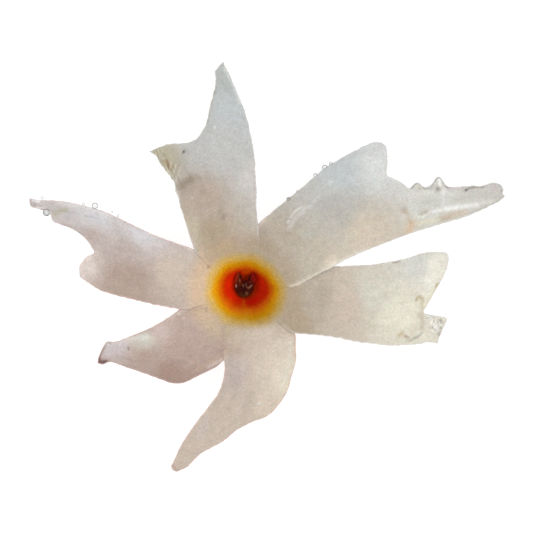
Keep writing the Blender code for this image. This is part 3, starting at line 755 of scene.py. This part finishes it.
def ring_faces(rings, turns, first=0, turned=False, closed=False):
    """Faces between rings of vertices that follow one another. Turned ones look the other way."""
    faces = []
    for i in range(rings if closed else rings - 1):
        for k in range(turns):
            here, there = first + i * turns, first + (i + 1) % rings * turns
            m = (k + 1) % turns
            face = (here + k, here + m, there + m, there + k)
            faces.append((face[0], *face[:0:-1]) if turned else face)
    return faces


def add_layer(piece, name, values, kind="FLOAT"):
    """Values for each vertex, for the materials to read."""
    values = np.asarray(values, float)
    if kind == "FLOAT_COLOR":
        values = np.column_stack([values, np.ones(len(values))])
    field = {"FLOAT": "value", "FLOAT_COLOR": "color", "FLOAT_VECTOR": "vector"}[kind]
    piece.data.attributes.new(name, kind, "POINT").data.foreach_set(field, values.ravel())


def finish_piece(piece, node, material):
    piece.data.materials.append(material)
    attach(piece, "root")
    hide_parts(node)
    return piece


def plan_tree(places):
    """A search tree of places in the plan."""
    tree = kdtree.KDTree(len(places))
    for index, (x, y) in enumerate(places):
        tree.insert((x, y, 0), index)
    tree.balance()
    return tree


# Materials
def feed(tree, node, values):
    """Sets or links inputs, by number or by name with underscores for spaces."""
    for key, value in values.items():
        socket = node.inputs[key.replace("_", " ") if isinstance(key, str) else key]
        if isinstance(value, bpy.types.NodeSocket):
            tree.links.new(value, socket)
        else:
            socket.default_value = value


def add(tree, kind, settings=None, **values):
    made = tree.nodes.new(kind)
    for key, value in (settings or {}).items():
        setattr(made, key, value)
    feed(tree, made, values)
    return made


def maths(tree, operation, a, b):
    made = add(tree, "ShaderNodeMath", {"operation": operation})
    feed(tree, made, {0: a, 1: b})
    return made.outputs[0]


def scaled(tree, vector, scale):
    return add(tree, "ShaderNodeVectorMath", {"operation": "SCALE"}, Vector=vector, Scale=scale).outputs[0]


def spread(tree, value, low, high, start=0.3, stop=0.7):
    return add(
        tree, "ShaderNodeMapRange", {"clamp": True},
        Value=value, From_Min=start, From_Max=stop, To_Min=low, To_Max=high,
    ).outputs[0]


def mix_colour(tree, factor, a, b, blend="MIX"):
    made = add(tree, "ShaderNodeMix", {"data_type": "RGBA", "blend_type": blend})
    feed(tree, made, {0: factor, 6: a, 7: b})
    return made.outputs[2]


def noise(tree, place, scale, detail=2.0, roughness=0.55, output="Fac"):
    made = add(tree, "ShaderNodeTexNoise", Vector=place, Scale=scale, Detail=detail, Roughness=roughness)
    return made.outputs[output]


def layer(tree, name, output):
    return add(tree, "ShaderNodeAttribute", {"attribute_name": name}).outputs[output]


def bump(tree, height, strength, distance):
    return add(tree, "ShaderNodeBump", Height=height, Strength=strength, Distance=distance).outputs[0]


def new_material(name):
    material = bpy.data.materials.new(name)
    material.use_nodes = True
    tree = material.node_tree
    return material, tree, tree.nodes["Principled BSDF"]


def millimetres(tree):
    """The place on the piece in millimetres."""
    return scaled(tree, add(tree, "ShaderNodeTexCoord").outputs["Object"], 1000.0)


def tissue(name, grain_size, grain_amount, relief_strength, glint_amount, gloss):
    """Petal and throat tissue: painted tint, grain, faint tints of its own, painted glints, fine relief and a
    wet gloss.
    """
    material, tree, shader = new_material(name)
    place = millimetres(tree)
    wet = layer(tree, "wet", "Fac")
    veins = layer(tree, "veins", "Vector")
    mottle = spread(tree, noise(tree, place, 1.5, 4.0, 0.65), 0.93, 1.06)
    grain = spread(tree, noise(tree, place, grain_size, 2.0, 0.4), 1 - grain_amount, 1 + grain_amount)
    streak = spread(tree, noise(tree, veins, 1.0, 3.0), 0.97, 1.03)
    shade = maths(tree, "MULTIPLY", maths(tree, "MULTIPLY", mottle, grain), streak)
    colour = scaled(tree, layer(tree, "tint", "Color"), shade)
    hues = noise(tree, place, 2.4, 2.0, 0.5, "Color")
    hues = mix_colour(tree, 0.09, (0.955, 0.955, 0.955, 1.0), hues, "ADD")
    colour = mix_colour(tree, 1.0, colour, hues, "MULTIPLY")
    # Painted glints: small specks where the tint is lightened halfway to white
    cells = add(tree, "ShaderNodeTexVoronoi", Vector=place, Scale=3.0).outputs["Distance"]
    cells = spread(tree, cells, glint_amount, 0.0, 0.03, 0.15)
    painted_glints = maths(tree, "MULTIPLY", cells, spread(tree, grain, 0.0, 1.0, 0.98, 1.04))
    colour = mix_colour(tree, painted_glints, colour, mix_colour(tree, 0.5, colour, (1.0, 1.0, 1.0, 1.0)))
    dulled = maths(tree, "MAXIMUM", maths(tree, "MULTIPLY", wet, -0.5), 0.0)
    fine = maths(tree, "MULTIPLY", noise(tree, place, 6.0, 2.0, 0.5), 0.75)
    lines = maths(tree, "MULTIPLY", noise(tree, veins, 1.6), 0.5)
    feed(tree, shader, {
        "Base_Color": colour,
        "Roughness": maths(tree, "ADD", spread(tree, noise(tree, place, 5.0), 0.40, 0.58), dulled),
        "Coat_Weight": maths(tree, "MULTIPLY", maths(tree, "MAXIMUM", wet, 0.0), 0.7),
        "Coat_Roughness": 0.12,
        "Normal": bump(tree, maths(tree, "ADD", fine, lines), relief_strength, 0.00004),
        "Specular_IOR_Level": gloss,
        "Subsurface_Weight": 0.10,
        "Subsurface_Radius": (0.0006, 0.0004, 0.0003),
        "Subsurface_Scale": 1.0,
    })
    return material


def anther_material():
    material, tree, shader = new_material("anther")
    place = millimetres(tree)
    shade = spread(tree, noise(tree, place, 5.0, 3.0, 0.65), 0.65, 1.35)
    feed(tree, shader, {
        "Base_Color": scaled(tree, layer(tree, "tint", "Color"), shade),
        "Roughness": spread(tree, noise(tree, place, 8.0), 0.38, 0.55),
        "Normal": bump(tree, noise(tree, place, 5.0, 3.0), 1.0, 0.00010),
        "Specular_IOR_Level": 0.03,
    })
    return material


def water_material(name, clear, passing, edge):
    """Water, with a painted darker ring towards its edge for the dark rim a drop shows. Milky water lets less
    light through.
    """
    material, tree, shader = new_material(name)
    place = millimetres(tree)
    light_tone = (clear, clear * 1.02, clear, 1.0)
    dark_tone = (clear * 0.85, clear * 0.87, clear * 0.85, 1.0)
    colour = mix_colour(tree, spread(tree, noise(tree, place, 1.5), 0.0, 1.0), light_tone, dark_tone)
    facing = add(tree, "ShaderNodeLayerWeight", Blend=0.5).outputs["Facing"]
    # Painted dark rim: darker where the surface turns away from the view
    ring = spread(tree, facing, 0.0, 1.0, 0.08, 0.45)
    feed(tree, shader, {
        "Base_Color": mix_colour(tree, ring, colour, (edge, edge * 1.04, edge, 1.0)),
        "Roughness": spread(tree, noise(tree, place, 3.0), 0.0, 0.05),
        "Transmission_Weight": passing,
        "IOR": 1.33,
    })
    return material


PETAL = tissue("petal", grain_size=6.4, grain_amount=0.085, relief_strength=0.5, glint_amount=0.35, gloss=0.14)
THROAT = tissue("throat", grain_size=7.0, grain_amount=0.12, relief_strength=0.4, glint_amount=0.0, gloss=0.02)
ANTHER = anther_material()
WATER = water_material("water", clear=0.88, passing=1.0, edge=0.24)
MILKY_WATER = water_material("milky_water", clear=0.78, passing=0.5, edge=0.32)


# Lobes
def depth_inside(plan):
    """How far each place of a lobe's grid lies from the lobe's edge."""
    edge = np.vstack([plan[:, 0], plan[-1, 1:-1], plan[::-1, -1]])
    finer = []
    for a, b in zip(edge[:-1], edge[1:], strict=True):
        finer += [a, (a + b) / 2]
    tree = plan_tree([*finer, edge[-1]])
    depth = np.array([tree.find((px, py, 0))[2] for px, py in plan.reshape(-1, 2)]).reshape(plan.shape[:2])
    depth[-1, :] = 0
    depth[:, 0] = 0
    depth[:, -1] = 0
    return depth


def blade_sides(name, x, y, across, depth, lift):
    """Heights of the upper and lower side of a lobe's blade, and of its middle."""
    radius = np.hypot(x, y)
    outward = np.clip((radius - LOBE_START_RADIUS) / (lobe_reach(LOBES[name]) - LOBE_START_RADIUS), 0, 1)
    height = lobe_height(name, x, y, across)
    gap = 0.02
    slope_x = (lobe_height(name, x + gap, y, across) - height) / gap
    slope_y = (lobe_height(name, x, y + gap, across) - height) / gap
    steep = np.sqrt(1 + np.clip(slope_x**2 + slope_y**2, 0, 6))
    thick = blend_to(ROOT_THICKNESS, END_THICKNESS, outward)
    thick = thick * np.sqrt(1 - (1 - np.clip(depth / RIM_ROUNDING, 0, 1)) ** 2) * steep
    fade = smooth_step((radius - 3.4) / 2.0)
    height = height + fade * (0.035 * wobble(x, y, 2.6, 11) + 0.012 * wobble(x, y, 0.9, 12))
    lift = lift * smooth_step(depth / 0.15)
    over = height + thick / 2 + lift
    under = height - thick / 2 + lift * 0.5
    if name in SETTLED:
        settling = (under.min() - ORIGIN[2]) * outward**3
        over, under = over - settling, under - settling
    return over, under, height


def lobe_piece(name):
    """One lobe: two skins that meet in a rounded rim, painted and wet as in the picture."""
    plan, u, v = lobe_plan(LOBES[name])
    x, y = plan[..., 0], plan[..., 1]
    across = np.broadcast_to(u[None, :], x.shape)
    depth = depth_inside(plan)
    paint, lift, wet = lobe_paint(name, x, y)
    paint = eye_paint(x, y, rim_paint(name, x, y, depth, paint))
    over, under, height = blade_sides(name, x, y, across, depth, lift)
    towards = 1 + (LIMB_HEIGHT - height) * MM / CAMERA_DISTANCE
    x, y = x * towards, y * towards

    rows, columns = x.shape
    inner = np.zeros((rows, columns), bool)
    inner[:-1, 1:-1] = True
    upper = np.arange(rows * columns).reshape(rows, columns)
    lower = upper.copy()
    lower[inner] = rows * columns + np.arange(inner.sum())
    vertices = np.vstack([
        np.dstack([x, y, over]).reshape(-1, 3),
        np.column_stack([x[inner], y[inner], under[inner]]),
    ])
    quads = []
    for index, flip in ((upper, False), (lower, True)):
        a, b, c, d = index[:-1, :-1], index[:-1, 1:], index[1:, 1:], index[1:, :-1]
        cells = np.stack([a, b, c, d] if flip else [a, d, c, b], axis=-1).reshape(-1, 4)
        quads += cells.tolist()
    for column in range(columns - 1):
        face = [upper[0, column], upper[0, column + 1], lower[0, column + 1], lower[0, column]]
        quads.append([int(f) for f in dict.fromkeys(face)])
    piece = object_from("lobe_" + name, vertices, quads)

    def both(values):
        return np.concatenate([values.reshape(rows * columns, -1), values[inner].reshape(inner.sum(), -1)])

    width = np.hypot(*(plan[:, -1] - plan[:, 0]).T).mean()
    length = running_length(plan[:, columns // 2])[-1]
    run = np.broadcast_to(v[:, None], x.shape) * length
    veins = np.dstack([across * width * VEIN_STRETCH[0], run * VEIN_STRETCH[1], 0 * run])
    add_layer(piece, "tint", both(as_albedo(paint)), "FLOAT_COLOR")
    add_layer(piece, "wet", both(wet)[:, 0])
    add_layer(piece, "veins", both(veins), "FLOAT_VECTOR")
    return finish_piece(piece, "corolla_limb", PETAL)


def face_tree(mesh):
    """A search tree of a mesh's faces, for rays."""
    return BVHTree.FromPolygons([v.co[:] for v in mesh.vertices], [p.vertices[:] for p in mesh.polygons])


lobes = {name: lobe_piece(name) for name in LOBES}
lobe_trees = {name: face_tree(piece.data) for name, piece in lobes.items()}


def surface_below(x, y, names=LOBES, start=12.0):
    """The height, in millimetres, of the highest lobe under a place in the plan, or None."""
    origin = Vector(to_row((x, y, start)))
    hits = [lobe_trees[name].ray_cast(origin, Vector((0, 0, -1)))[0] for name in names]
    return max((hit.z / MM + ORIGIN[2] for hit in hits if hit is not None), default=None)


# Throat, funnel and tube in one skin. The drape's rings over the lobes' roots are given by radius
TURNS = 192
DRAPE = [3.18, 3.13, 3.08, 3.02, 2.94, 2.84, 2.74, 2.64, 2.54, 2.46, 2.38, 2.30, 2.22, 2.14]
DRAPE_EDGE = 3.05
EDGE_RINGS = 4
EVENING_TURNS = 6

# Radius and height of each ring after the drape
FUNNEL = [
    (2.02, 6.50), (1.90, 6.41), (1.80, 6.30), (1.68, 6.17), (1.54, 6.03), (1.38, 5.88), (1.20, 5.72),
    (1.00, 5.55), (0.78, 5.41), (0.52, 5.28), (0.28, 5.16), (0.17, 5.00), (0.17, 4.60), (0.34, 3.80),
    (0.60, 2.60), (0.80, 1.00), (0.86, 0.40), (0.90, 0.22), (0.96, 0.16), (1.06, 0.15), (1.28, 0.15),
    (1.38, 0.17), (1.44, 0.26), (1.45, 0.50), (1.45, 1.40), (1.43, 2.40), (1.42, 3.30), (1.46, 4.00),
    (1.56, 4.50), (1.72, 4.95), (1.94, 5.40), (2.18, 5.80), (2.40, 6.14), (2.54, 6.34), (2.60, 6.44),
]
BORE_END = 19
# Painted shade down the funnel and bore: below each height the tone darkens
BORE_PAINTED_SHADE = ((5.66, (150, 40, 12)), (5.38, (112, 34, 16)), (5.1, (60, 20, 12)))
TUBE_CORAL = (226, 96, 30)
TUBE_ORANGE = (238, 150, 70)
TUBE_PALE = (214, 190, 160)


def lean(z):
    """How far the middle of the funnel and tube has moved aside at this height."""
    depth = max(0.0, LIMB_HEIGHT - 0.5 - z)
    away = TUBE_LEAN * depth * depth / (depth + 0.5) + TUBE_BOW * max(0.0, depth - 2) ** 2
    return -0.05 * away + 0.1 * math.sin(depth * 0.55), away + 0.18 * float(smooth_step((6.72 - z) / 0.35))


def throat_rings(angles):
    """Rings from the drape over the lobes' roots, down the funnel and bore, and up the tube's outside."""
    ways = np.column_stack([np.cos(angles), np.sin(angles)])
    found = [[surface_below(*(radius * way)) for way in ways] for radius in DRAPE[:EDGE_RINGS]]
    edge = np.array([[6.9 if height is None else height for height in ring] for ring in found])
    kernel = np.hanning(2 * EVENING_TURNS + 1)
    kernel /= kernel.sum()
    padded = np.concatenate([edge[-1][-EVENING_TURNS:], edge[-1], edge[-1][:EVENING_TURNS]])
    shoulder = np.convolve(padded, kernel, mode="valid") + 0.008
    rings = []
    for index, radius in enumerate(DRAPE):
        if radius > DRAPE_EDGE:
            z = edge[index] - 0.004 - 0.35 * (radius - DRAPE_EDGE)
        else:
            start = 6.50 + 0.24 * (1 - (max(0.0, 2.66 - radius) / 0.64) ** 1.5)
            slope = shoulder + (radius - DRAPE[EDGE_RINGS - 1]) * 0.2
            z = blend_to(start, slope, smooth_step((radius - 2.14) / 0.36))
        rings.append(np.column_stack([radius * ways, z]))
    for index, (radius, z) in enumerate(FUNNEL):
        aside, up = lean(z)
        if index < BORE_END:
            up -= 0.55 * math.exp(-(((z - 5.05) / 0.30) ** 2))
        squeeze = 1 - 0.17 * smooth_step((2.3 - radius) / 0.4) * smooth_step((z - 5.1) / 0.9)
        ring = radius * ways * (1, squeeze) + (aside, up)
        rings.append(np.column_stack([ring, np.full(TURNS, z)]))
    return np.array(rings)


def throat_piece():
    """The throat's skin, painted from the eye's yellow halo down to the pale coral of the tube, and darkened
    down the bore as painted shade.
    """
    angles = np.linspace(0, 2 * np.pi, TURNS, endpoint=False)
    rings = throat_rings(angles)
    count = len(rings)
    vertices = rings.reshape(-1, 3)
    piece = object_from("throat_and_tube", vertices, ring_faces(count, TURNS, closed=True))
    x, y, z = vertices.T
    radius = np.hypot(x, y)
    outer = np.repeat(np.arange(count), TURNS) >= len(DRAPE) + BORE_END
    paint = eye_paint(x, y, area_paint(SHARED_AREAS, x, y))
    for tone, amount, width, places in THROAT_MARKS:
        paint = laid_over(paint, tone, amount * nearness(places, width, x, y))
    # Painted shade that darkens the funnel and bore with depth
    for depth, tone in BORE_PAINTED_SHADE:
        paint = laid_over(paint, tone, smooth_step((depth - z) / 0.35) * ~outer)
    tube = laid_over(np.array(TUBE_CORAL, float), TUBE_ORANGE, smooth_step((z - 5.3) / 1.3))
    tube = laid_over(tube, TUBE_PALE, smooth_step((z - 6.0) / 0.5))
    paint = np.where(outer[:, None], tube, paint)
    deep = smooth_step((5.6 - z) / 0.3)
    wet = np.where(outer, 0, smooth_step((1.9 - radius) / 0.5) * 0.06 * (1 - deep) - deep)
    light = blend_to(FUNNEL_LIGHT, LIGHT * 0.96, smooth_step((radius - 1.3) / 0.9))
    light = blend_to(light, LIGHT, smooth_step((radius - 2.2) / 0.4))
    light = light * (1 - 0.26 * smooth_step((1.85 - radius) / 0.5) * smooth_step(y / 0.8))
    light = light * (1 - 0.16 * smooth_step((1.15 - radius) / 0.4) * smooth_step((y + 0.6) / 0.5))
    add_layer(piece, "tint", as_albedo(paint, light[:, None], THROAT_VEIL), "FLOAT_COLOR")
    add_layer(piece, "wet", wet)
    around = np.tile(angles, count)
    veins = np.column_stack([np.cos(around) * 9, np.sin(around) * 9, z * 0.3])
    add_layer(piece, "veins", veins, "FLOAT_VECTOR")
    return finish_piece(piece, "corolla_tube", THROAT)


throat_piece()


# Rounded bodies
def rounded(name, centre, radii, turn, segments=32, rings=20, rough=0.0, seed=1):
    """A closed rounded body. Rough shifts its skin in and out by that share of its size."""
    vertices = [(0, 0, 1)]
    for i in range(1, rings):
        polar = math.pi * i / rings
        for k in range(segments):
            around = 2 * math.pi * k / segments
            flat = math.sin(polar)
            vertices.append((flat * math.cos(around), flat * math.sin(around), math.cos(polar)))
    vertices.append((0, 0, -1))
    vertices = np.array(vertices)
    if rough:
        x, y, z = vertices.T
        vertices = vertices * (1 + rough * wobble(x + 0.7 * z, y - 0.5 * z, 1.1, seed))[:, None]
    faces = [(0, 1 + k, 1 + (k + 1) % segments) for k in range(segments)]
    faces += ring_faces(rings - 1, segments, 1, turned=True)
    last = 1 + (rings - 2) * segments
    faces += [(last + segments, last + (k + 1) % segments, last + k) for k in range(segments)]
    return object_from(name, (vertices * radii) @ turn.T + centre, faces)


def frame_along(direction):
    """Columns: along the direction, aside, and up."""
    along = np.array(direction, float)
    along /= np.linalg.norm(along)
    side = np.cross((0, 0, 1), along)
    side /= np.linalg.norm(side)
    return np.column_stack([along, side, np.cross(along, side)])


# Anthers
def finish_anther(piece, node):
    """Gives an anther's piece its tints, with their painted glints and painted shade, by place in the
    picture.
    """
    x, y, _ = (np.array([v.co[:] for v in piece.data.vertices]) / MM + ORIGIN).T
    paint = np.tile(ANTHER_TONE, (len(x), 1))
    for tone, amount, width, places in ANTHER_MARKS:
        paint = laid_over(paint, tone, amount * nearness(places, width, x, y))
    add_layer(piece, "tint", np.clip(linear(paint), 0.001, 0.9), "FLOAT_COLOR")
    finish_piece(piece, node, ANTHER)


def anther(name, node, foot, head, half_width, apart, taper):
    """Two pollen sacs side by side with a groove between them, joined at the back."""
    foot, head = np.array(foot, float), np.array(head, float)
    axes = frame_along(head - foot)
    length = np.linalg.norm(head - foot)
    segments, rings = 40, 40
    vertices = []
    for i in range(rings + 1):
        t = i / rings
        swell = max(0.0, 1 - (2 * t - 1) ** 2) ** (0.375 if t < 0.5 else taper)
        width = half_width * swell
        bow = apart * math.sin(math.pi * t)
        for k in range(segments):
            around = 2 * math.pi * k / segments
            groove = 1 - 0.34 * math.exp(-(((math.sin(around) - 1) / 0.16) ** 2))
            across = math.cos(around) * width * (1.12 - 0.32 * t + 0.10 * math.sin(9.0 * t + foot[0])) + bow
            up = math.sin(around) * width * 0.72 * groove
            vertices.append(foot + axes @ (t * length, across, up))
    first = len(vertices)
    vertices += [foot, head]
    faces = ring_faces(rings + 1, segments)
    ring = rings * segments
    for k in range(segments):
        m = (k + 1) % segments
        faces += [(first, m, k), (first + 1, ring + k, ring + m)]
    finish_anther(object_from(name, vertices, faces), node)


anther(
    "anther_left", "stamen_left", foot=(-0.15, -0.49, 5.52), head=(-0.52, 1.52, 6.32),
    half_width=0.29, apart=0.24, taper=0.375,
)
anther(
    "anther_right", "stamen_right", foot=(-0.20, -0.44, 5.54), head=(0.68, 1.46, 6.44),
    half_width=0.33, apart=-0.26, taper=0.26,
)

# Thin inner sacs of the anthers, and a dark base and middle between them, which fill the V and stand partly
# for the shade down in the tube
for name, node, centre, radii, direction in (
    ("anther_left_sac", "stamen_left", (-0.24, 0.88, 6.02), (0.56, 0.07, 0.10), (0.30, -1.0, -0.42)),
    ("anther_right_sac", "stamen_right", (0.24, 0.86, 6.08), (0.52, 0.08, 0.10), (-0.36, -1.0, -0.42)),
    ("anther_base_and_bore_shade", "stamen_left", (-0.10, 0.03, 5.66), (0.40, 0.27, 0.16), (0, -1.0, -0.3)),
    ("anther_middle_and_bore_shade", "stamen_left", (0.00, 0.44, 5.80), (0.36, 0.30, 0.14), (0.1, -1.0, -0.3)),
):
    finish_anther(rounded(name, centre, radii, frame_along(direction), 24, 16, 0.05, 7), node)


# Water
def bead(number, lobe, px, py, radius, rough, material):
    """A bead of water on a lobe, or at its nearest edge."""
    x, y = seen(px, py)
    size = radius * PIXEL
    height = surface_below(x, y, [lobe])
    if height is None:
        vertices = lobes[lobe].data.vertices
        target = to_row((x, y, 0))
        index = plan_tree([v.co[:2] for v in vertices]).find((target[0], target[1], 0))[1]
        height = vertices[index].co.z / MM + ORIGIN[2]
    flat = size * BEAD_HEIGHT
    centre = (x, y, max(height + flat * BEAD_RISE, flat + BEAD_LIFT))
    name = f"water_bead_{number:02d}"
    piece = rounded(name, centre, (size, size, flat), np.eye(3), rough=rough, seed=number)
    finish_piece(piece, "corolla_limb", material)


for number, place in enumerate(BEADS, 1):
    milky = number == len(BEADS)
    bead(number, *place, MILKY_ROUGHNESS if milky else 0.0, MILKY_WATER if milky else WATER)


# Floor, lights and camera
def floor_piece(half=3.0):
    mesh = bpy.data.meshes.new("floor")
    corners = [(-half, -half, 0), (half, -half, 0), (half, half, 0), (-half, half, 0)]
    mesh.from_pydata(corners, [], [(0, 1, 2, 3)])
    floor = bpy.data.objects.new("floor", mesh)
    bpy.context.scene.collection.objects.link(floor)
    material, tree, shader = new_material("floor")
    feed(tree, shader, {
        "Base_Color": (0.28, 0.28, 0.28, 1),
        "Roughness": 0.85,
        "Emission_Color": (1, 1, 1, 1),
        "Emission_Strength": 0.84,
    })
    mesh.materials.append(material)
    return floor


def area_light(name, place, size, power):
    """A round light that looks at the flower."""
    data = bpy.data.lights.new(name, "AREA")
    data.shape = "DISK"
    data.size = size
    data.energy = power
    made = bpy.data.objects.new(name, data)
    made.location = place
    made.rotation_euler = (-Vector(place)).to_track_quat("-Z", "Y").to_euler()
    bpy.context.scene.collection.objects.link(made)


floor = floor_piece()
area_light("key", place=(0.28, 0.04, 0.46), size=0.30, power=1.0)
area_light("fill", place=(-0.36, 0.00, 0.40), size=0.40, power=0.72)

world = bpy.data.worlds.new("studio")
bpy.context.scene.world = world
world.use_nodes = True
sky = world.node_tree
sky_place = add(sky, "ShaderNodeTexCoord").outputs["Generated"]
upward = add(sky, "ShaderNodeSeparateXYZ", Vector=sky_place).outputs["Z"]
glow = spread(sky, upward, 0.25, 1.0, 0.05, 0.75)
feed(sky, sky.nodes["Background"], {"Strength": glow, "Color": (1, 1, 1, 1)})

camera_data = bpy.data.cameras.new("camera")
camera_data.lens = 36 * (CAMERA_DISTANCE - LIMB_HEIGHT * MM) / (PICTURE_SIDE * PIXEL * MM)
camera_data.clip_end = 10
camera = bpy.data.objects.new("camera", camera_data)
middle = to_row((*seen(PICTURE_SIDE / 2, PICTURE_SIDE / 2), 0))
camera.location = (middle[0], middle[1], CAMERA_DISTANCE)
bpy.context.scene.collection.objects.link(camera)
bpy.context.scene.camera = camera
bpy.context.scene.view_settings.view_transform = "Standard"
bpy.context.scene.view_settings.look = "None"
